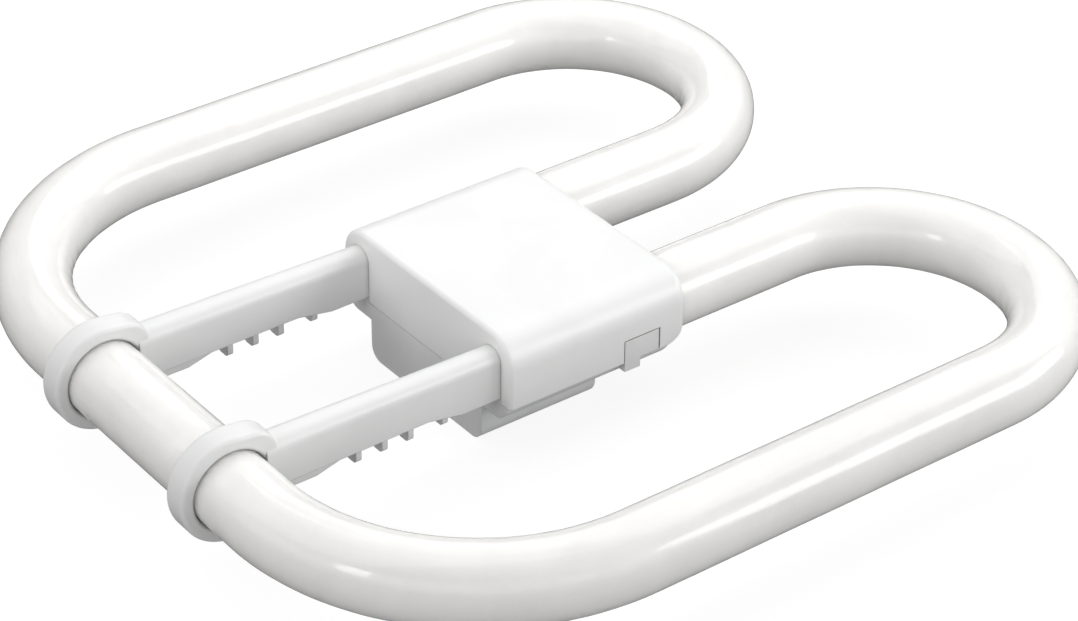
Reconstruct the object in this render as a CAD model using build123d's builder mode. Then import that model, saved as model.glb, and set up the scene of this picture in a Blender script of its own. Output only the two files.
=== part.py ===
from build123d import *
import os
from math import cos, radians, sin

os.makedirs("parts", exist_ok=True)

# Square four-pin compact fluorescent lamp, in millimetres. X runs across its two D-shaped
# loops, Y along them and +Z away from the lampholder. The origin is on the resting face of
# the cap's contact block, under the middle of the lamp.

# Discharge tube, by its centreline.
lamp_width = 203.6
lamp_length = 205.0
tube_d = 18.0
leg_pitch = 42.2
corner_r = 53.8
tube_axis_z = 20.6
tube_end_inset = 12.9
tube_end_r = 3.0
exhaust_tip_d = 3.5
exhaust_tip_length = 4.0
exhaust_tip_r = 1.2

# Cap cover, the shell over the ends of the two inner legs.
cap_length = 48.2
cap_rim_drop = 6.5
cap_wall = 1.2
cap_end_wall = 1.5
cap_corner_r = 7.4
cap_edge_r = 1.1
cap_rear_edge_r = 2.0
cap_heel_r = 6.0
tube_gap = 0.15
notch_gap = 0.3
part_gap = 0.1
hold_down_rib = 1.2

# Cap base, a tray with the contact block below it.
tray_floor = 1.5
tray_side_land = 1.4
tray_plan_r = 5.0
block_width = 41.8
block_length = 31.7
block_corner_r = 3.5
block_edge_r = 0.8
recess_side_wall = 5.7
recess_end_wall = 2.6
recess_corner_r = 2.5
recess_depth = 8.3
deck = 1.8
well_width = 23.0
key_width = 3.0
key_length = 7.0
key_height = 5.0

# Latch that holds the cover, on each side of the base.
latch_from_front = 35.9
latch_length = 10.0
latch_height = 5.7
latch_foot_length = 4.3
latch_foot_drop = 2.4
latch_gap = 0.3
latch_root = 1.1

# Support arms from the cap to the bottom of the loops, with a clip round the tube.
arm_pitch = 49.6
arm_length = 67.6
arm_width_at_cap = 6.2
arm_width_at_clip = 7.0
arm_top_at_cap = 6.6
arm_top_at_clip = 7.9
arm_edge_r = 2.9
arm_wall = 1.2
arm_roof = 1.6
arm_skirt_drop = 3.3
arm_heel_drop = 5.0
arm_heel_length = 10.0
arm_ramp = 9.0
arm_overlap = 4.0
arm_root_length = 6.5
channel_end = 1.5
channel_corner_r = 1.4
root_key = 1.5
root_key_height = 2.2
root_key_inset = 2.2
rib_count = 3
rib_pitch = 6.65
rib_from_cap = 22.7
rib_width = 4.0
rib_thickness = 1.4
rib_drop = 7.4
rib_tip_r = 1.2
short_rib_from_cap = 13.8
short_rib_drop = 7.0
clip_width = 6.4
clip_wall = 3.2
clip_edge_r = 1.0
clip_gap = 0.1
clip_mouth_angle = 62.0
clip_mouth_turn = -65.0
clip_lip_r = 1.2
shoulder_r = 6.0
shoulder_inset = 4.5
shoulder_angle = 46.0
gusset_length = 6.4
gusset_ramp = 6.5

# Contact pins and the wires that lead to them from the tube's ends.
pin_pitch = 10.0
pin_d = 2.4
pin_tip_inset = 1.2
pin_shank_d = 2.7
pin_collar_d = 3.8
pin_collar = 0.6
pin_crimp = 2.5
pin_bore_d = 0.8
pin_gap = 0.05
wire_d = 0.6
wire_pitch = 5.2
wire_bend_r = 1.2
wire_rise = 3.4
wire_lead = 3.6
cement_length = 5.2
cement_gap = 0.05

# Places that follow from the sizes.
inner_x = leg_pitch / 2
outer_x = lamp_width / 2 - tube_d / 2
loop_r = (outer_x - inner_x) / 2
clip_bore_r = tube_d / 2 + clip_gap
clip_r = clip_bore_r + clip_wall
shoulder_middle_r = clip_r - shoulder_inset
half_depth = (lamp_length - tube_d / 2 + clip_r) / 2
loop_y = half_depth - tube_d / 2 - loop_r
straight_y = -half_depth + clip_r
corner_y = straight_y + corner_r

cap_front_y = straight_y + arm_length
cap_rear_y = cap_front_y + cap_length
tube_end_y = cap_front_y + tube_end_inset
cap_rim_z = tube_axis_z - cap_rim_drop
cavity_top_z = tube_axis_z + tube_d / 2 + tube_gap
cap_top_z = cavity_top_z + cap_wall
cavity_half = inner_x + tube_d / 2 + tube_gap
cap_half = cavity_half + cap_wall

tray_half = cavity_half - tube_gap
tray_bottom_z = tube_axis_z - tube_d / 2 - tube_gap - tray_floor
tray_top_z = tube_axis_z - arm_heel_drop
tray_corner_r = tray_top_z - tray_bottom_z - tray_side_land
rebate_z = cap_rim_z - part_gap
rebate = cap_end_wall + tube_gap
block_y = cap_front_y + block_length / 2
deck_top_z = recess_depth + deck
trough_front_y = tube_end_y - cement_length
latch_y = cap_front_y + latch_from_front
recess_width = block_width - 2 * recess_side_wall
recess_length = block_length - 2 * recess_end_wall

arm_x = arm_pitch / 2
root_y = cap_front_y + arm_root_length
root_top_z = tube_axis_z + arm_top_at_cap
beam_y = straight_y + clip_r - arm_overlap
skirt_z = tube_axis_z - arm_skirt_drop
heel_z = tube_axis_z - arm_heel_drop
root_key_y = cap_front_y + cap_end_wall + root_key_inset

pin_top_z = deck_top_z + pin_collar + pin_crimp
sides = {"left": -1, "right": 1}


def polar(radius, angle):
    """A point at a radius and an angle, on the plane of a sketch."""
    return (radius * cos(radians(angle)), radius * sin(radians(angle)))


def arch(half_width, top_z, foot_z, crown_r):
    """An upright outline with a level foot and two rounded upper corners."""
    with BuildSketch(mode=Mode.PRIVATE) as outline:
        with Locations((0, (top_z + foot_z) / 2)):
            Rectangle(2 * half_width, top_z - foot_z)
        fillet(outline.vertices().group_by(Axis.Y)[-1], crown_r)
    add(outline.sketch)


def basin(half_width, top_z, foot_z, heel_r):
    """An upright outline with a level top and two rounded lower corners."""
    with BuildSketch(mode=Mode.PRIVATE) as outline:
        with Locations((0, (top_z + foot_z) / 2)):
            Rectangle(2 * half_width, top_z - foot_z)
        fillet(outline.vertices().group_by(Axis.Y)[0], heel_r)
    add(outline.sketch)


# Discharge tube: one sealed glass tube, coated white inside, bent into two D-shaped loops.
# Its ends are rounded off and each keeps the tip of the exhaust tube it was filled through.
with BuildPart() as discharge_tube:
    with BuildLine(Plane.XY.offset(tube_axis_z)) as centreline:
        Line((inner_x, tube_end_y), (inner_x, loop_y))
        CenterArc((inner_x + loop_r, loop_y), loop_r, 180, -180)
        Line((outer_x, loop_y), (outer_x, corner_y))
        CenterArc((outer_x - corner_r, corner_y), corner_r, 0, -90)
        Line((outer_x - corner_r, straight_y), (0, straight_y))
        mirror(about=Plane.YZ)
    with BuildSketch(Plane((inner_x, tube_end_y, tube_axis_z), z_dir=(0, 1, 0))):
        Circle(tube_d / 2)
    sweep(path=centreline.wires()[0])
    tube_ends = faces().filter_by(GeomType.PLANE)
    fillet(tube_ends.edges(), tube_end_r)
    tube_ends = faces().filter_by(GeomType.PLANE)
    with BuildSketch(*tube_ends):
        Circle(exhaust_tip_d / 2)
    extrude(amount=exhaust_tip_length)
    tip_ends = faces().filter_by(GeomType.PLANE).group_by(Axis.Y)[0]
    fillet(tip_ends.edges(), exhaust_tip_r)
discharge_tube.part.label = "discharge_tube"
export_step(discharge_tube.part, "parts/discharge_tube.step")


# Cap cover: a moulded shell with two rounded long edges. Its front wall is notched over the
# support arms, its rear wall over the two legs, and each side wall over a latch.
with BuildPart() as cap_cover:
    with BuildSketch(Plane.XZ.offset(-cap_front_y)):
        arch(cap_half, cap_top_z, cap_rim_z, cap_corner_r)
    extrude(amount=-cap_length)
    outline = edges().filter_by(lambda e: e.center().Z > cap_rim_z + part_gap)
    fillet(outline.group_by(Axis.Y)[0], cap_edge_r)
    outline = edges().filter_by(lambda e: e.center().Z > cap_rim_z + part_gap)
    fillet(outline.group_by(Axis.Y)[-1], cap_rear_edge_r)
    with BuildSketch(Plane.XZ.offset(-cap_front_y - cap_end_wall)):
        arch(cavity_half, cavity_top_z, cap_rim_z, cap_corner_r - cap_wall)
    extrude(amount=-(cap_length - 2 * cap_end_wall), mode=Mode.SUBTRACT)
    # Openings round the legs, in the rear wall only.
    with BuildSketch(Plane.XZ.offset(-cap_rear_y)):
        with Locations((-inner_x, tube_axis_z), (inner_x, tube_axis_z)):
            Circle(tube_d / 2 + notch_gap)
            Rectangle(tube_d + 2 * notch_gap, tube_d, align=(Align.CENTER, Align.MAX))
    extrude(amount=cap_end_wall, mode=Mode.SUBTRACT)
    # Notches over the support arms, in the front wall only.
    for side in sides.values():
        with BuildSketch(Plane((side * arm_x, cap_front_y, 0), x_dir=(1, 0, 0), z_dir=(0, -1, 0))):
            arch(arm_width_at_cap / 2 + tube_gap, root_top_z + tube_gap, cap_rim_z, arm_edge_r + tube_gap)
        extrude(amount=-cap_end_wall, mode=Mode.SUBTRACT)
    # Latch openings, and the rounded heels under the rear of the side walls.
    with BuildSketch(Plane.YZ):
        with Locations((latch_y, cap_rim_z)):
            Rectangle(latch_length, latch_height, align=(Align.CENTER, Align.MIN))
    extrude(amount=cap_half, both=True, mode=Mode.SUBTRACT)
    for side in sides.values():
        with BuildSketch(Plane.YZ.offset(side * cavity_half)):
            with Locations((cap_rear_y, cap_rim_z)):
                Rectangle(2 * cap_heel_r, 2 * cap_heel_r)
            with Locations((cap_rear_y - cap_heel_r, cap_rim_z + cap_heel_r)):
                Circle(cap_heel_r, mode=Mode.SUBTRACT)
        extrude(amount=side * cap_wall, mode=Mode.SUBTRACT)
    # Ribs under the top that hold the roots of the arms down.
    for side in sides.values():
        with BuildSketch(Plane.XZ.offset(-root_key_y - hold_down_rib / 2)):
            arch(cap_half - cap_wall / 2, cap_top_z - cap_wall / 2, cap_rim_z, cap_corner_r - cap_wall / 2)
            with Locations((side * arm_x, root_top_z + tube_gap)):
                Rectangle(arm_width_at_cap, tube_d, align=(Align.CENTER, Align.MIN), mode=Mode.INTERSECT)
        extrude(amount=hold_down_rib)
cap_cover.part.label = "cap_cover"
export_step(cap_cover.part, "parts/cap_cover.step")


# Cap base: one moulding, with a tray whose two troughs carry the tube's ends, and below it the
# contact block with a recess for the lampholder. A latch on each side fills a cover opening.
with BuildPart() as cap_base:
    with BuildSketch(Plane.XY.offset(tray_bottom_z)) as tray_plan:
        with Locations((0, cap_front_y)):
            Rectangle(2 * tray_half, cap_length, align=(Align.CENTER, Align.MIN))
        fillet(tray_plan.vertices().group_by(Axis.Y)[-1], tray_plan_r)
    extrude(amount=tray_top_z - tray_bottom_z)
    tray_underside = edges().group_by(Axis.Z)[0]
    fillet(tray_underside.filter_by(lambda e: e.center().Y > cap_front_y + part_gap), tray_corner_r)
    # Rebates under the cover's end walls. The front one leaves a seat below each arm.
    with BuildSketch(Plane.XY.offset(tray_top_z)):
        with Locations((0, cap_front_y)):
            Rectangle(2 * tray_half, 2 * rebate)
        with Locations((-arm_x, cap_front_y), (arm_x, cap_front_y)):
            Rectangle(arm_width_at_cap, 2 * rebate, mode=Mode.SUBTRACT)
        with Locations((0, cap_rear_y)):
            Rectangle(2 * tray_half, 2 * rebate)
    extrude(amount=rebate_z - tray_top_z, mode=Mode.SUBTRACT)
    # Contact block.
    with BuildSketch(Plane.XZ.offset(-cap_front_y)):
        basin(block_width / 2, tray_bottom_z + tray_floor, 0, block_corner_r)
    extrude(amount=-block_length)
    block_rear = edges().filter_by(lambda e: abs(e.center().Y - cap_front_y - block_length) < part_gap)
    fillet(block_rear.filter_by(lambda e: e.center().Z < tray_bottom_z), block_edge_r)
    # Troughs for the tube's ends, and the well over the contact pins.
    with BuildSketch(Plane.XZ.offset(-trough_front_y)):
        with Locations((-inner_x, tube_axis_z), (inner_x, tube_axis_z)):
            Circle(tube_d / 2 + tube_gap)
    extrude(amount=trough_front_y - cap_rear_y, mode=Mode.SUBTRACT)
    with BuildSketch(Plane.XY.offset(deck_top_z)):
        with Locations((0, block_y)):
            Rectangle(well_width, recess_length)
    extrude(amount=tray_top_z - deck_top_z, mode=Mode.SUBTRACT)
    # Recess for the lampholder, with its keying rib on the front wall.
    with BuildSketch(Plane.XY):
        with Locations((0, block_y)):
            RectangleRounded(recess_width, recess_length, recess_corner_r)
    extrude(amount=recess_depth, mode=Mode.SUBTRACT)
    with Locations((0, block_y - recess_length / 2, recess_depth)):
        Box(key_width, key_length, key_height, align=(Align.CENTER, Align.MIN, Align.MAX))
    with Locations((0, block_y, 0)):
        with GridLocations(pin_pitch, pin_pitch, 2, 2):
            Cylinder(
                pin_shank_d / 2 + pin_gap,
                deck_top_z,
                align=(Align.CENTER, Align.CENTER, Align.MIN),
                mode=Mode.SUBTRACT,
            )
    # Keys that locate the roots of the arms.
    with Locations(*[(side * arm_x, root_key_y, tray_top_z) for side in sides.values()]):
        Box(
            arm_width_at_cap - 2 * arm_wall,
            root_key,
            root_key_height,
            align=(Align.CENTER, Align.CENTER, Align.MIN),
        )
    # Latches, each with a foot that reaches below the cover's rim and a root in the tray.
    for side in sides.values():
        with BuildSketch(Plane.YZ.offset(side * tray_half)):
            with Locations((latch_y, cap_rim_z)):
                Rectangle(
                    latch_length - 2 * latch_gap,
                    latch_height - latch_gap,
                    align=(Align.CENTER, Align.MIN),
                )
            with Locations((latch_y - latch_length / 2 + latch_gap, cap_rim_z - latch_foot_drop)):
                Rectangle(latch_foot_length, latch_height, align=(Align.MIN, Align.MIN))
        extrude(amount=side * (cap_half - part_gap - tray_half))
        with BuildSketch(Plane.YZ.offset(side * tray_half)):
            with Locations((latch_y - latch_length / 2 + latch_gap, cap_rim_z - latch_foot_drop)):
                Rectangle(
                    latch_foot_length,
                    tray_top_z - cap_rim_z + latch_foot_drop,
                    align=(Align.MIN, Align.MIN),
                )
            with Locations((latch_y, cap_rim_z)):
                Rectangle(
                    latch_length - 2 * latch_gap,
                    tray_top_z - cap_rim_z,
                    align=(Align.CENTER, Align.MIN),
                )
        extrude(amount=-side * latch_root)
cap_base.part.label = "cap_base"
export_step(cap_base.part, "parts/cap_base.step")


# Clip at the far end of an arm: a ring open below, which snaps over the tube from above, with
# a thicker shoulder on the side of the arm.
with BuildPart() as clip_form:
    with BuildSketch(Plane.YZ) as clip_outline:
        Circle(clip_r)
        with Locations(polar(shoulder_middle_r, shoulder_angle)):
            Circle(shoulder_r)
        make_hull()
        Circle(clip_bore_r, mode=Mode.SUBTRACT)
        with BuildLine():
            Polyline(
                (0, 0),
                polar(2 * clip_r, clip_mouth_turn - clip_mouth_angle / 2),
                polar(2 * clip_r, clip_mouth_turn + clip_mouth_angle / 2),
                close=True,
            )
        make_face(mode=Mode.SUBTRACT)
        mouth_middle = Plane.YZ.from_local_coords(polar(clip_r, clip_mouth_turn))
        fillet(clip_outline.vertices().sort_by_distance(mouth_middle)[:4], clip_lip_r)
    extrude(amount=clip_width / 2, both=True)
    fillet(faces().filter_by(Axis.X).edges(), clip_edge_r)

# Support arm: an inverted channel with a row of cross ribs that hang below its walls, a solid
# root that the cap grips, and the clip moulded on its far end.
with BuildPart() as arm_form:
    with BuildSketch(Plane.XZ.offset(-beam_y)):
        arch(arm_width_at_clip / 2, tube_axis_z + arm_top_at_clip, heel_z, arm_edge_r)
    with BuildSketch(Plane.XZ.offset(-root_y)):
        arch(arm_width_at_cap / 2, root_top_z, heel_z, arm_edge_r)
    loft()
    # The walls are cut back between the clip and the deep heel at the cap.
    heel_y = cap_front_y - arm_heel_length
    with BuildSketch(Plane.YZ):
        with BuildLine():
            Polyline(
                (beam_y, heel_z),
                (beam_y, skirt_z),
                (heel_y - arm_ramp, skirt_z),
                (heel_y, heel_z),
                close=True,
            )
        make_face()
    extrude(amount=arm_width_at_clip, both=True, mode=Mode.SUBTRACT)
    # The channel below, closed short of the cap and of the clip.
    channel_half = arm_width_at_cap / 2 - arm_wall
    channel_y = straight_y + clip_r + channel_end
    channel_top_z = root_top_z - arm_roof
    with BuildSketch(Plane.XZ.offset(-channel_y)):
        arch(channel_half, channel_top_z, heel_z, channel_corner_r)
    extrude(amount=channel_y - cap_front_y + channel_end, mode=Mode.SUBTRACT)
    # Cross ribs, each with a narrower rounded tongue.
    tongues = [(cap_front_y - rib_from_cap - i * rib_pitch, rib_drop) for i in range(rib_count)]
    for rib_y, drop in [*tongues, (cap_front_y - short_rib_from_cap, short_rib_drop)]:
        with BuildSketch(Plane.XZ.offset(-rib_y)):
            arch(channel_half, channel_top_z, skirt_z, channel_corner_r)
            basin(rib_width / 2, tube_axis_z, tube_axis_z - drop, rib_tip_r)
        extrude(amount=rib_thickness / 2, both=True)
    # Gusset under the arm where it meets the clip.
    with BuildSketch(Plane.YZ):
        with BuildLine():
            Polyline(
                (beam_y, tube_axis_z),
                (beam_y, heel_z),
                (channel_y + gusset_length, heel_z),
                (channel_y + gusset_length + gusset_ramp, skirt_z),
                (channel_y + gusset_length, tube_axis_z),
                close=True,
            )
        make_face()
    extrude(amount=clip_width / 2, both=True)
    with Locations((0, straight_y, tube_axis_z)):
        add(clip_form.part)
        Cylinder(clip_bore_r, 2 * arm_width_at_clip, rotation=(0, 90, 0), mode=Mode.SUBTRACT)
    # The groove in the root that drops over the key of the base.
    with Locations((0, root_key_y, heel_z)):
        Box(
            arm_width_at_clip,
            root_key + 2 * part_gap,
            root_key_height + part_gap,
            align=(Align.CENTER, Align.CENTER, Align.MIN),
            mode=Mode.SUBTRACT,
        )

for side_name, side in sides.items():
    with BuildPart() as support_arm:
        with Locations((side * arm_x, 0, 0)):
            add(arm_form.part)
    support_arm.part.label = f"support_arm_{side_name}"
    export_step(support_arm.part, f"parts/support_arm_{side_name}.step")


# Contact pin: turned brass, with a rounded tip, a collar that seats on the deck and a bored
# end that is crimped on a lead wire.
with BuildPart() as pin_form:
    with BuildSketch(Plane.XZ) as pin_outline:
        with BuildLine():
            tip = CenterArc((0, pin_tip_inset + pin_d / 2), pin_d / 2, -90, 90)
            Polyline(
                tip @ 1,
                (pin_d / 2, recess_depth),
                (pin_shank_d / 2, recess_depth),
                (pin_shank_d / 2, deck_top_z),
                (pin_collar_d / 2, deck_top_z),
                (pin_collar_d / 2, deck_top_z + pin_collar),
                (pin_d / 2, deck_top_z + pin_collar),
                (pin_d / 2, pin_top_z),
                (pin_bore_d / 2, pin_top_z),
                (pin_bore_d / 2, deck_top_z + pin_collar),
                (0, deck_top_z + pin_collar),
                tip @ 0,
            )
        make_face()
    revolve(axis=Axis.Z)

pin_places = [(x * pin_pitch / 2, block_y + y * pin_pitch / 2) for y in (-1, 1) for x in (-1, 1)]
for number, (pin_x, pin_y) in enumerate(pin_places, start=1):
    with BuildPart() as contact_pin:
        with Locations((pin_x, pin_y, 0)):
            add(pin_form.part)
    contact_pin.part.label = f"contact_pin_{number}"
    export_step(contact_pin.part, f"parts/contact_pin_{number}.step")


# Lead wires: two from each end of the tube. The inner one drops to the front pin on its side
# and the outer one arches over it to the rear pin.
for number, (pin_x, pin_y) in enumerate(pin_places, start=1):
    side = 1 if pin_x > 0 else -1
    wire_foot = (pin_x, pin_y, deck_top_z + pin_collar + wire_d)
    if pin_y < block_y:
        stem_x = side * (inner_x - wire_pitch / 2)
        route = [
            (stem_x, tube_end_y, tube_axis_z),
            (stem_x, pin_y, tube_axis_z),
            (pin_x, pin_y, pin_top_z + wire_lead),
            wire_foot,
        ]
    else:
        stem_x = side * (inner_x + wire_pitch / 2)
        route = [
            (stem_x, tube_end_y, tube_axis_z),
            (stem_x, tube_end_y - wire_lead / 2, tube_axis_z),
            (stem_x, tube_end_y - wire_lead, tube_axis_z + wire_rise),
            (side * well_width / 2, tube_end_y - wire_lead, tube_axis_z + wire_rise),
            (pin_x, pin_y, pin_top_z + wire_lead),
            wire_foot,
        ]
    with BuildPart() as lead_wire:
        with BuildLine() as wire_path:
            FilletPolyline(*route, radius=wire_bend_r)
        with BuildSketch(Plane(wire_path.wires()[0] @ 0, z_dir=wire_path.wires()[0] % 0)):
            Circle(wire_d / 2)
        sweep(path=wire_path.wires()[0])
    lead_wire.part.label = f"lead_wire_{number}"
    export_step(lead_wire.part, f"parts/lead_wire_{number}.step")


# Cement that fixes each end of the tube in its trough, up to the root of the arm in front.
for side_name, side in sides.items():
    with BuildPart() as tube_cement:
        with BuildSketch(Plane.XZ.offset(-trough_front_y - cement_gap)):
            with Locations((side * inner_x, tube_axis_z)):
                Circle(tube_d / 2 + tube_gap - cement_gap)
            with Locations((side * inner_x, heel_z - cement_gap)):
                Rectangle(2 * tube_d, 2 * tube_d, align=(Align.CENTER, Align.MIN), mode=Mode.SUBTRACT)
        extrude(amount=-(cement_length - 2 * cement_gap))
    tube_cement.part.label = f"tube_cement_{side_name}"
    export_step(tube_cement.part, f"parts/tube_cement_{side_name}.step")
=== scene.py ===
import math

import bpy
from mathutils import Matrix, Vector


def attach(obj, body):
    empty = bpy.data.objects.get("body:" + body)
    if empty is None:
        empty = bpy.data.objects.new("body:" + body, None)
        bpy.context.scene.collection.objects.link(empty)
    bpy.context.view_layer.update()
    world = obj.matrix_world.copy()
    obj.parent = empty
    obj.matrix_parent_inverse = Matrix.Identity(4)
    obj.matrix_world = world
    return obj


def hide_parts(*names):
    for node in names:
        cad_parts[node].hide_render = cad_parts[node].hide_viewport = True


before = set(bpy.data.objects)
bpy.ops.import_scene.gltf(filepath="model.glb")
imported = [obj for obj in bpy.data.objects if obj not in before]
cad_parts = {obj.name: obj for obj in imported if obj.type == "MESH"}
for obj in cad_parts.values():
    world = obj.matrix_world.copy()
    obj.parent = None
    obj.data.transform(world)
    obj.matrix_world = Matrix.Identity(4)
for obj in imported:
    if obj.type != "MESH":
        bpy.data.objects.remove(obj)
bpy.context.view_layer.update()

# Camera: a long lens held above the front right corner of the lamp, as the photograph was
# taken. Its place follows from the outline of the two loops, so the lamp fills the same frame.
mm = 0.001
view_azimuth, view_elevation, view_roll = (math.radians(v) for v in (52.708, 33.251, 0.544))
view_distance, view_aside, view_above = 761.81 * mm, 2.446 * mm, -6.838 * mm
loop_middle = Vector((0, 3.97 * mm, 20.6 * mm))
photo_width_px, focal_px = 1078, 3416.22
back = Vector(
    (
        math.sin(view_azimuth) * math.cos(view_elevation),
        -math.cos(view_azimuth) * math.cos(view_elevation),
        math.sin(view_elevation),
    )
)
level = Vector((math.cos(view_azimuth), math.sin(view_azimuth), 0))
rise = back.cross(level)
right = math.cos(view_roll) * level + math.sin(view_roll) * rise
up = math.cos(view_roll) * rise - math.sin(view_roll) * level
lens = bpy.data.cameras.new("photo_camera")
lens.sensor_fit = "HORIZONTAL"
lens.sensor_width = 36
lens.lens = lens.sensor_width * focal_px / photo_width_px
lens.clip_start = 10 * mm
camera = bpy.data.objects.new("photo_camera", lens)
bpy.context.collection.objects.link(camera)
eye = loop_middle + back * view_distance + right * view_aside + up * view_above
camera.matrix_world = Matrix.Translation(eye) @ Matrix((right, up, back)).transposed().to_4x4()
bpy.context.scene.camera = camera
bpy.context.scene.view_settings.view_transform = "Standard"


# Floor: a sheet of opal acrylic lit from below, which keeps the ground as pale as in the
# photograph. Only the camera sees it, so it throws no light up into the lamp's undersides.
def linear(code):
    """A Blender colour from an sRGB hex code."""
    parts = (int(code[i : i + 2], 16) / 255 for i in (1, 3, 5))
    return (*(p / 12.92 if p <= 0.04045 else ((p + 0.055) / 1.055) ** 2.4 for p in parts), 1)


def node(tree, kind, settings={}, **sockets):
    """Adds a node with its settings. Each socket, by name or as _number, gets a link or a value."""
    made = tree.nodes.new(kind)
    for key, value in settings.items():
        setattr(made, key, value)
    for key, value in sockets.items():
        socket = made.inputs[int(key[1:]) if key[0] == "_" else key.replace("_", " ")]
        if isinstance(value, bpy.types.NodeSocket):
            tree.links.new(value, socket)
        else:
            socket.default_value = value
    return made


def material_tree(name):
    """A new material and its empty node tree."""
    made = bpy.data.materials.new(name)
    made.use_nodes = True
    made.node_tree.nodes.clear()
    return made, made.node_tree


# The light from below makes most of its white, and its own grey takes the lamp's faint shadow.
floor_half = 6.0
opal_acrylic, tree = material_tree("opal_acrylic_sheet")
sheet = node(
    tree,
    "ShaderNodeBsdfPrincipled",
    Base_Color=linear("#787878"),
    Roughness=0.9,
    Specular_IOR_Level=0.0,
    Emission_Color=linear("#FFFFFF"),
    Emission_Strength=0.86,
)
node(tree, "ShaderNodeOutputMaterial", Surface=sheet.outputs[0])
floor_mesh = bpy.data.meshes.new("floor")
floor_corners = [
    (x * floor_half, y * floor_half, 0) for x, y in ((-1, -1), (1, -1), (1, 1), (-1, 1))
]
floor_mesh.from_pydata(floor_corners, [], [(0, 1, 2, 3)])
floor_mesh.materials.append(opal_acrylic)
floor = bpy.data.objects.new("floor", floor_mesh)
bpy.context.collection.objects.link(floor)
floor.visible_diffuse = False
floor.visible_glossy = False
floor.visible_shadow = False


# Light: a small light tent with pale walls. A broad soft box hangs over the left, one stands
# high behind, one low at the right rear, and a small one in front. Radiance 1 is full white.
def toward(azimuth, elevation, distance):
    """A place in a direction from the lamp. Azimuth turns from +X towards +Y."""
    a, e = math.radians(azimuth), math.radians(elevation)
    flat = distance * math.cos(e)
    return (flat * math.cos(a), flat * math.sin(a), distance * math.sin(e))


def soft_box(name, place, target, width, height, radiance):
    """A rectangular light of an even radiance, turned to its target."""
    light = bpy.data.lights.new(name, "AREA")
    light.shape = "RECTANGLE"
    light.size, light.size_y = width, height
    light.energy = radiance * math.pi * width * height
    box = bpy.data.objects.new(name, light)
    box.visible_camera = False
    bpy.context.collection.objects.link(box)
    box.location = place
    box.rotation_euler = (Vector(target) - Vector(place)).to_track_quat("-Z", "Y").to_euler()


lamp_foot, left_foot, left_above = (0, 0, 0), (-0.56, -0.52, 0), (-0.56, -0.52, 0.9)
soft_box("overhead_box", left_above, left_foot, width=1.5, height=1.4, radiance=1.3)
soft_box("back_box", toward(114, 50.5, 0.8), lamp_foot, width=1.22, height=0.66, radiance=1.65)
soft_box("low_box", toward(47.7, 18.9, 0.8), lamp_foot, width=0.58, height=0.257, radiance=3.9)
soft_box("front_box", toward(-80, 22, 1.5), lamp_foot, width=0.3, height=0.4, radiance=4.5)

room = bpy.data.worlds.new("pale_room")
bpy.context.scene.world = room
room.use_nodes = True
tree = room.node_tree
tree.nodes.clear()
aim = node(tree, "ShaderNodeTexCoord").outputs["Generated"]
aim = node(tree, "ShaderNodeSeparateXYZ", Vector=aim)
# The walls by height, from straight down to straight up: dark just below the lamp's level,
# brightest 17 degrees above it and dim from 40 degrees up.
wall_heights = (0.0, 0.325, 0.46, 0.525, 0.65, 0.825, 1.0)
wall_glows = (0.3, 0.34, 0.08, 0.64, 1.75, 0.1, 0.06)
lift = node(tree, "ShaderNodeMapRange", Value=aim.outputs["Z"], From_Min=-1.0).outputs[0]
walls = node(tree, "ShaderNodeValToRGB", Fac=lift)
stops = walls.color_ramp.elements
for height in wall_heights[1:-1]:
    stops.new(height)
for stop, wall_glow in zip(stops, wall_glows):
    stop.color = (wall_glow, wall_glow, wall_glow, 1)
# They are brightest on the right, and a little brighter in front than behind.
middle_share, right_share, back_share = 0.74, 0.49, -0.13
across = node(
    tree,
    "ShaderNodeMath",
    {"operation": "MULTIPLY_ADD"},
    _0=aim.outputs["X"],
    _1=right_share,
    _2=middle_share,
).outputs[0]
across = node(
    tree,
    "ShaderNodeMath",
    {"operation": "MULTIPLY_ADD", "use_clamp": True},
    _0=aim.outputs["Y"],
    _1=back_share,
    _2=across,
).outputs[0]
glow = node(
    tree, "ShaderNodeMath", {"operation": "MULTIPLY"}, _0=walls.outputs[0], _1=across
).outputs[0]
air = node(tree, "ShaderNodeBackground", Color=linear("#FFFFFF"), Strength=glow)
node(tree, "ShaderNodeOutputWorld", Surface=air.outputs[0])


# Cap base: the tray and the contact block of the lamp's cap, one injection moulding in
# glass-filled PBT polyester, matt from a spark-eroded mould. It carries everything else.
def dress(part, material):
    """Gives a CAD part its material."""
    part.data.materials.clear()
    part.data.materials.append(material)


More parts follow.
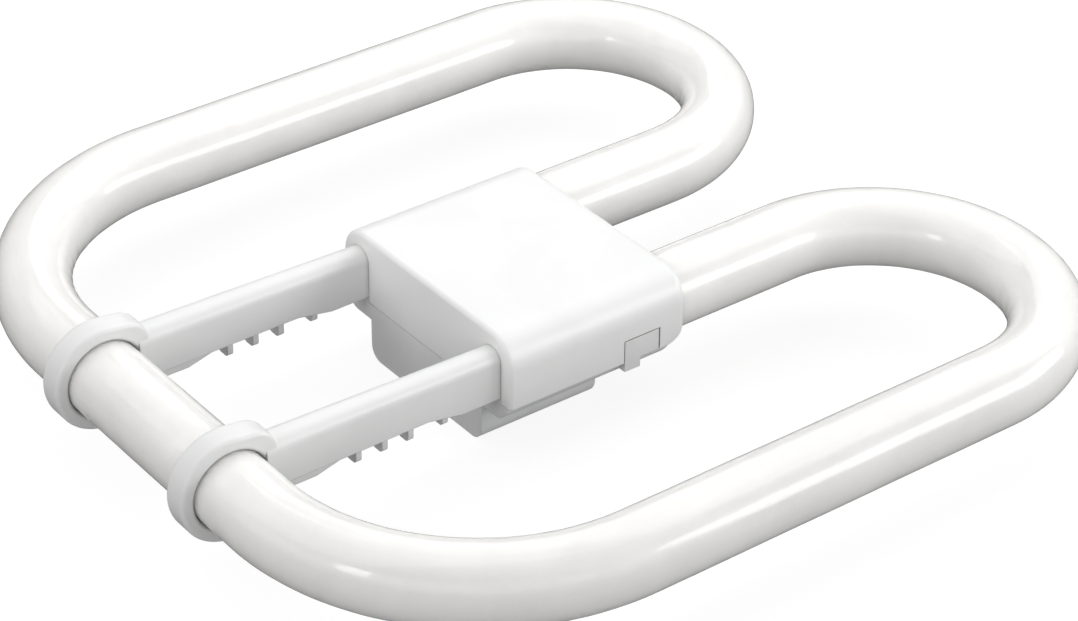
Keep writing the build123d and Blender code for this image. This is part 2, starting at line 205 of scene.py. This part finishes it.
def moulded_plastic(name, pale, dull, roughness, grain_depth, edge_r, ior):
    """A white moulded plastic. The melt leaves clouds two shades apart, the mould a fine grain
    and a soft peel, and handling polishes some patches and scuffs others."""
    cloud_width, peel_width, rub_width = 26 * mm, 5 * mm, 12 * mm
    # Spark erosion leaves craters 0.05 to 0.1 mm wide. They are drawn 0.3 mm wide, so that
    # they show at all.
    grain_width = 0.3 * mm
    peel_depth = 0.012 * mm
    polish, scuff = 0.03, 0.04
    # How far out the painted shade in joints and corners reaches.
    painted_shade_reach = 2.5 * mm
    plastic, tree = material_tree(name)
    place = node(tree, "ShaderNodeTexCoord").outputs["Object"]
    clouds = node(
        tree,
        "ShaderNodeTexNoise",
        Vector=place,
        Scale=1 / cloud_width,
        Detail=3.0,
        Distortion=0.7,
    ).outputs[0]
    cloud_share = node(
        tree,
        "ShaderNodeMapRange",
        {"interpolation_type": "SMOOTHSTEP"},
        Value=clouds,
        From_Min=0.35,
        From_Max=0.65,
    ).outputs[0]
    tone = node(
        tree,
        "ShaderNodeMix",
        {"data_type": "RGBA"},
        _0=cloud_share,
        _6=linear(pale),
        _7=linear(dull),
    ).outputs[2]
    grain = node(
        tree, "ShaderNodeTexNoise", Vector=place, Scale=1 / grain_width, Detail=2.0
    ).outputs[0]
    peel = node(
        tree, "ShaderNodeTexNoise", Vector=place, Scale=1 / peel_width, Detail=1.0
    ).outputs[0]
    rub = node(
        tree,
        "ShaderNodeTexNoise",
        Vector=place,
        Scale=1 / rub_width,
        Detail=3.0,
        Roughness=0.55,
    ).outputs[0]
    rub_and_grain = node(
        tree, "ShaderNodeMath", {"operation": "MULTIPLY_ADD"}, _0=grain, _1=0.15, _2=rub
    ).outputs[0]
    rubbed = node(
        tree,
        "ShaderNodeMapRange",
        Value=rub_and_grain,
        From_Min=0.4,
        From_Max=0.75,
        To_Min=roughness - polish,
        To_Max=roughness + scuff,
    ).outputs[0]
    # Painted shade: where the surface is hemmed in within 2.5 mm, in the joints between the
    # mouldings and in inner corners, a grey is mixed in for the shade that falls there.
    open_air = node(
        tree,
        "ShaderNodeAmbientOcclusion",
        {"samples": 6, "only_local": False},
        Distance=painted_shade_reach,
    ).outputs["AO"]
    painted_shade_share = node(
        tree, "ShaderNodeMapRange", Value=open_air, From_Min=0.65, From_Max=0.2, To_Max=0.6
    ).outputs[0]
    tone = node(
        tree,
        "ShaderNodeMix",
        {"data_type": "RGBA"},
        _0=painted_shade_share,
        _6=tone,
        _7=linear("#7C7A76"),
    ).outputs[2]
    # No edge of a mould is quite sharp.
    soft_edge = node(tree, "ShaderNodeBevel", {"samples": 8}, Radius=edge_r).outputs[0]
    peeled = node(
        tree,
        "ShaderNodeBump",
        Strength=1.0,
        Distance=peel_depth,
        Height=peel,
        Normal=soft_edge,
    ).outputs[0]
    grained = node(
        tree,
        "ShaderNodeBump",
        Strength=1.0,
        Distance=grain_depth,
        Height=grain,
        Normal=peeled,
    ).outputs[0]
    skin = node(
        tree,
        "ShaderNodeBsdfPrincipled",
        Base_Color=tone,
        Roughness=rubbed,
        IOR=ior,
        Normal=grained,
    )
    node(tree, "ShaderNodeOutputMaterial", Surface=skin.outputs[0])
    return plastic


# Glass-filled PBT: an even, slightly grey white with a dry satin look.
spark_grained_pbt = moulded_plastic(
    "pbt_moulded_spark_grained",
    pale="#E4E5E4",
    dull="#DFE0E0",
    roughness=0.42,
    grain_depth=0.012 * mm,
    edge_r=0.25 * mm,
    ior=1.55,
)
dress(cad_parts["cap_base"], spark_grained_pbt)


# Contact pins: four, turned from brass rod and crimped on their wires. The lampholder's
# sockets grip them. Turning leaves fine rings, and air a faint brown film.
# The tool's feed is near 0.08 mm a turn. The rings are drawn 0.25 mm apart, so that they show.
ring_pitch = 0.25 * mm
film_width = 1.6 * mm
turned_brass, tree = material_tree("brass_turned")
place = node(tree, "ShaderNodeTexCoord").outputs["Object"]
turned_rings = node(
    tree,
    "ShaderNodeTexWave",
    {"bands_direction": "Z"},
    Vector=place,
    Scale=math.pi / (10 * ring_pitch),
    Distortion=0.4,
    Detail=2.0,
).outputs["Fac"]
film = node(
    tree, "ShaderNodeTexNoise", Vector=place, Scale=1 / film_width, Detail=4.0
).outputs[0]
film_share = node(
    tree, "ShaderNodeMapRange", Value=film, From_Min=0.4, From_Max=0.75
).outputs[0]
brass_tone = node(
    tree,
    "ShaderNodeMix",
    {"data_type": "RGBA"},
    _0=film_share,
    _6=linear("#E6CB8B"),
    _7=linear("#B98F52"),
).outputs[2]
brass_roughness = node(
    tree, "ShaderNodeMapRange", Value=film, From_Min=0.3, From_Max=0.8, To_Min=0.2, To_Max=0.42
).outputs[0]
ringed = node(
    tree, "ShaderNodeBump", Strength=0.6, Distance=0.01 * mm, Height=turned_rings
).outputs[0]
brass = node(
    tree,
    "ShaderNodeBsdfPrincipled",
    Base_Color=brass_tone,
    Metallic=1.0,
    Roughness=brass_roughness,
    Normal=ringed,
)
node(tree, "ShaderNodeOutputMaterial", Surface=brass.outputs[0])
for number in range(1, 5):
    dress(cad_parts[f"contact_pin_{number}"], turned_brass)


# Discharge tube: one soda-lime glass tube, coated inside with a white phosphor, then softened
# and bent into two D-shaped loops. The glass thins on the outside of each bend and gathers on
# the inside, so it is a little flat on one side and faintly rippled on the other.

# Its sizes are in millimetres. The twists say how far the waves in the glass lean across it.
tube_r, tube_axis_z = 9.0, 20.6
leg_x, outer_x = 21.1, 92.8
loop_r, corner_r = 35.85, 53.8
tube_end_y, loop_y, corner_y, foot_y = -11.35, 59.3, -38.05, -91.85
end_round_r = 3.0
tip_r, tip_length, tip_round_r, tip_foot = 1.75, 4.0, 1.2, 0.02
ring_step, ring_points, round_points = 1.5, 72, 6
bend_flat, bend_ripple, ripple_pitch = 0.22, 0.07, 6.5
wave_depth, drawn_pitch, bent_pitch = 0.03, 34.0, 13.0
drawn_twist, bent_twist = 1.7, 2.3


def run(start, end, heading):
    """Stations along a straight run: place, heading and how far into a bend it is."""
    length = math.dist(start, end)
    steps = max(1, round(length / ring_step))
    return [
        ([a + (b - a) * i / steps for a, b in zip(start, end)], heading, 0.0) for i in range(steps)
    ]


def bend(middle, radius, first, last):
    """Stations round a bend. How far into it they are rises to 1 over its first fifth, and
    falls again over its last."""
    steps = round(radius * math.radians(abs(last - first)) / ring_step)
    stations = []
    for i in range(steps):
        share = i / steps
        angle = math.radians(first + (last - first) * share)
        into = min(1.0, 5 * min(share, 1 - share))
        stations.append(
            (
                [middle[0] + radius * math.cos(angle), middle[1] + radius * math.sin(angle)],
                (math.sin(angle), -math.cos(angle)),
                into * into * (3 - 2 * into),
            )
        )
    return stations


half_course = (
    run((leg_x, tube_end_y + end_round_r), (leg_x, loop_y), (0, 1))
    + bend((leg_x + loop_r, loop_y), loop_r, 180, 0)
    + run((outer_x, loop_y), (outer_x, corner_y), (0, -1))
    + bend((outer_x - corner_r, corner_y), corner_r, 0, -90)
    + run((outer_x - corner_r, foot_y), (0, foot_y), (-1, 0))
)
middle_station = [((0, foot_y), (-1, 0), 0.0)]
mirrored = [((-p[0], p[1]), (h[0], -h[1]), bent) for p, h, bent in reversed(half_course)]
course = half_course + middle_station + mirrored

# The sealed end, from its tip inwards: how far it stands out past the tube, and its radius.
sealed_end = []
for outset, radius, rounding in ((tip_length, tip_r, tip_round_r), (0.0, tube_r, end_round_r)):
    for i in range(round_points):
        angle = math.pi / 2 * i / round_points
        sealed_end.append(
            (outset - rounding * (1 - math.cos(angle)), radius - rounding * (1 - math.sin(angle)))
        )
    if outset:
        sealed_end += [(outset - rounding, radius), (tip_foot, radius)]

glass_rings = [
    ((leg_x, tube_end_y - outset), (0, 1), 0.0, radius) for outset, radius in sealed_end
]
glass_rings += [(*station, tube_r) for station in course]
glass_rings += [
    ((-leg_x, tube_end_y - outset), (0, -1), 0.0, radius)
    for outset, radius in reversed(sealed_end)
]

# The glass, ring by ring. Each point also keeps how far along the tube and where across it
# it lies, and the patterns in its material follow that.
glass_points, glass_course, along = [], [], 0.0
for number, (place, heading, bent, radius) in enumerate(glass_rings):
    if number:
        along += math.dist(place, glass_rings[number - 1][0])
    phase = 2 * math.pi * along
    for i in range(ring_points):
        angle = 2 * math.pi * i / ring_points
        inward, upward = math.cos(angle), math.sin(angle)
        wave = wave_depth * (1 + math.sin(phase / drawn_pitch + drawn_twist * upward)) / 2
        wave += wave_depth * bent * (1 + math.sin(phase / bent_pitch + bent_twist * inward)) / 2
        flat = bend_flat * bent * max(0.0, -inward) ** 4
        ripple = bend_ripple * bent * max(0.0, inward) ** 3
        ripple *= (1 + math.sin(phase / ripple_pitch)) / 2
        r = radius - (wave + flat + ripple if radius == tube_r else 0)
        x = place[0] + r * inward * heading[1]
        y = place[1] - r * inward * heading[0]
        glass_points.append((x * mm, y * mm, (tube_axis_z + r * upward) * mm))
        glass_course.append((along * mm, r * inward * mm, r * upward * mm))
glass_faces = []
for first in range(0, len(glass_points) - ring_points, ring_points):
    for i in range(ring_points):
        here, beside = first + i, first + (i + 1) % ring_points
        glass_faces.append((here, beside, beside + ring_points, here + ring_points))
first_ring = list(range(ring_points))
last_ring = [len(glass_points) - ring_points + i for i in first_ring]
glass_faces += [tuple(reversed(first_ring)), tuple(last_ring)]
glass_mesh = bpy.data.meshes.new("discharge_tube_glass")
glass_mesh.from_pydata(glass_points, [], glass_faces)
glass_mesh.shade_smooth()
course_values = glass_mesh.attributes.new("tube_course", "FLOAT_VECTOR", "POINT")
course_values.data.foreach_set("vector", [v for point in glass_course for v in point])
glass_mesh.update()

# Clear glass over phosphor powder: a chalky white seen through a wet-looking gloss. The powder
# was washed down the tube, which leaves clouds and faint streaks along it.
cloud_width, streak_width, streak_stretch = 19 * mm, 2.2 * mm, 20
smudge_width, swell_width = 14 * mm, 11 * mm
# The powder's grains are 0.01 mm wide. Their clumps are drawn 0.4 mm wide, so that they show.
clump_width = 0.4 * mm
coated_glass, tree = material_tree("glass_drawn_phosphor_coated")
tube_place = node(
    tree, "ShaderNodeAttribute", {"attribute_name": "tube_course"}
).outputs["Vector"]
streak_place = node(
    tree,
    "ShaderNodeVectorMath",
    {"operation": "MULTIPLY"},
    _0=tube_place,
    _1=(1 / streak_stretch, 1, 1),
).outputs[0]
streaks = node(
    tree, "ShaderNodeTexNoise", Vector=streak_place, Scale=1 / streak_width, Detail=3.0
).outputs[0]
clouds = node(
    tree,
    "ShaderNodeTexNoise",
    Vector=tube_place,
    Scale=1 / cloud_width,
    Detail=4.0,
    Distortion=0.8,
).outputs[0]
powder = node(
    tree, "ShaderNodeTexNoise", Vector=tube_place, Scale=1 / clump_width, Detail=2.0
).outputs[0]
coat = node(
    tree, "ShaderNodeMath", {"operation": "MULTIPLY_ADD"}, _0=streaks, _1=0.45, _2=clouds
).outputs[0]
coat = node(
    tree, "ShaderNodeMath", {"operation": "MULTIPLY_ADD"}, _0=powder, _1=0.3, _2=coat
).outputs[0]
coat_share = node(
    tree, "ShaderNodeMapRange", Value=coat, From_Min=0.6, From_Max=1.15
).outputs[0]
coat_tone = node(
    tree,
    "ShaderNodeMix",
    {"data_type": "RGBA"},
    _0=coat_share,
    _6=linear("#F6F5F3"),
    _7=linear("#EDECEA"),
).outputs[2]
smudges = node(
    tree,
    "ShaderNodeTexNoise",
    Vector=tube_place,
    Scale=1 / smudge_width,
    Detail=7.0,
    Roughness=0.62,
    Distortion=1.5,
).outputs[0]
glass_roughness = node(
    tree,
    "ShaderNodeMapRange",
    Value=smudges,
    From_Min=0.35,
    From_Max=0.75,
    To_Min=0.05,
    To_Max=0.12,
).outputs[0]
# Drawing the tube leaves lines along it, a few thousandths of a millimetre deep, and bending
# leaves a slow swell.
swell = node(
    tree, "ShaderNodeTexNoise", Vector=tube_place, Scale=1 / swell_width, Detail=1.0
).outputs[0]
swelled = node(
    tree, "ShaderNodeBump", Strength=1.0, Distance=0.05 * mm, Height=swell
).outputs[0]
drawn = node(
    tree, "ShaderNodeBump", Strength=1.0, Distance=0.004 * mm, Height=streaks, Normal=swelled
).outputs[0]
glass = node(
    tree,
    "ShaderNodeBsdfPrincipled",
    {"subsurface_method": "BURLEY"},
    Base_Color=coat_tone,
    Roughness=glass_roughness,
    IOR=1.51,
    Subsurface_Weight=1.0,
    Subsurface_Radius=(1.0, 1.0, 1.0),
    Subsurface_Scale=4.0 * mm,
    Normal=drawn,
)
node(tree, "ShaderNodeOutputMaterial", Surface=glass.outputs[0])
glass_mesh.materials.append(coated_glass)
glass_tube = bpy.data.objects.new("discharge_tube_glass", glass_mesh)
bpy.context.collection.objects.link(glass_tube)
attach(glass_tube, "root")
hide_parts("discharge_tube")


# Lead wires: nickel-plated iron, drawn, from the tube's ends to the bores of the pins. They
# lie inside the cap, and heat dulls them in patches.
tarnish_width = 0.9 * mm
drawn_wire, tree = material_tree("nickel_iron_wire_drawn")
place = node(tree, "ShaderNodeTexCoord").outputs["Object"]
tarnish = node(
    tree, "ShaderNodeTexNoise", Vector=place, Scale=1 / tarnish_width, Detail=4.0
).outputs[0]
wire_tone = node(
    tree,
    "ShaderNodeMix",
    {"data_type": "RGBA"},
    _0=tarnish,
    _6=linear("#C9C4B8"),
    _7=linear("#9A958C"),
).outputs[2]
wire_roughness = node(
    tree, "ShaderNodeMapRange", Value=tarnish, To_Min=0.25, To_Max=0.5
).outputs[0]
wire_skin = node(
    tree, "ShaderNodeBump", Strength=0.5, Distance=0.005 * mm, Height=tarnish
).outputs[0]
wire = node(
    tree,
    "ShaderNodeBsdfPrincipled",
    Base_Color=wire_tone,
    Metallic=1.0,
    Roughness=wire_roughness,
    Normal=wire_skin,
)
node(tree, "ShaderNodeOutputMaterial", Surface=wire.outputs[0])
for number in range(1, 5):
    dress(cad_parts[f"lead_wire_{number}"], drawn_wire)


# Cement: a mineral-filled resin, run in under the tube's ends and baked. It is dry and sandy,
# with small pits.
sand_width, pit_width = 0.5 * mm, 1.3 * mm
baked_cement, tree = material_tree("mineral_cement_baked")
place = node(tree, "ShaderNodeTexCoord").outputs["Object"]
sand = node(
    tree, "ShaderNodeTexNoise", Vector=place, Scale=1 / sand_width, Detail=5.0, Roughness=0.7
).outputs[0]
pits = node(
    tree, "ShaderNodeTexVoronoi", Vector=place, Scale=1 / pit_width
).outputs["Distance"]
crust = node(
    tree, "ShaderNodeMath", {"operation": "MULTIPLY_ADD"}, _0=pits, _1=0.6, _2=sand
).outputs[0]
cement_tone = node(
    tree,
    "ShaderNodeMix",
    {"data_type": "RGBA"},
    _0=crust,
    _6=linear("#A99F8C"),
    _7=linear("#D8D0C0"),
).outputs[2]
cement_roughness = node(
    tree, "ShaderNodeMapRange", Value=sand, To_Min=0.75, To_Max=0.98
).outputs[0]
crusted = node(
    tree, "ShaderNodeBump", Strength=1.0, Distance=0.12 * mm, Height=crust
).outputs[0]
cement = node(
    tree,
    "ShaderNodeBsdfPrincipled",
    Base_Color=cement_tone,
    Roughness=cement_roughness,
    Normal=crusted,
)
node(tree, "ShaderNodeOutputMaterial", Surface=cement.outputs[0])
for side in ("left", "right"):
    dress(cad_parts[f"tube_cement_{side}"], baked_cement)


# Support arms: two ribbed channels moulded in polycarbonate. Each root sits in the cap, and the
# clip at the far end snaps over the bottom of the loops.
# Polycarbonate from a stoned mould: a clean satin white, a little glossier than the cap's.
stoned_polycarbonate = moulded_plastic(
    "polycarbonate_moulded_stoned",
    pale="#E8E9E8",
    dull="#E4E5E4",
    roughness=0.31,
    grain_depth=0.005 * mm,
    edge_r=0.35 * mm,
    ior=1.585,
)
for side in ("left", "right"):
    dress(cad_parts[f"support_arm_{side}"], stoned_polycarbonate)


# Cap cover: a shell moulded in the same PBT as the base, from a smoother mould, which drops
# over the tube's ends and snaps on the two latches.
# PBT from a fine-ground mould: a soft white that still mirrors broad lights at its edges.
satin_pbt = moulded_plastic(
    "pbt_moulded_satin",
    pale="#ECEDEC",
    dull="#E9EAE9",
    roughness=0.35,
    grain_depth=0.008 * mm,
    edge_r=0.3 * mm,
    ior=1.55,
)
dress(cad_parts["cap_cover"], satin_pbt)
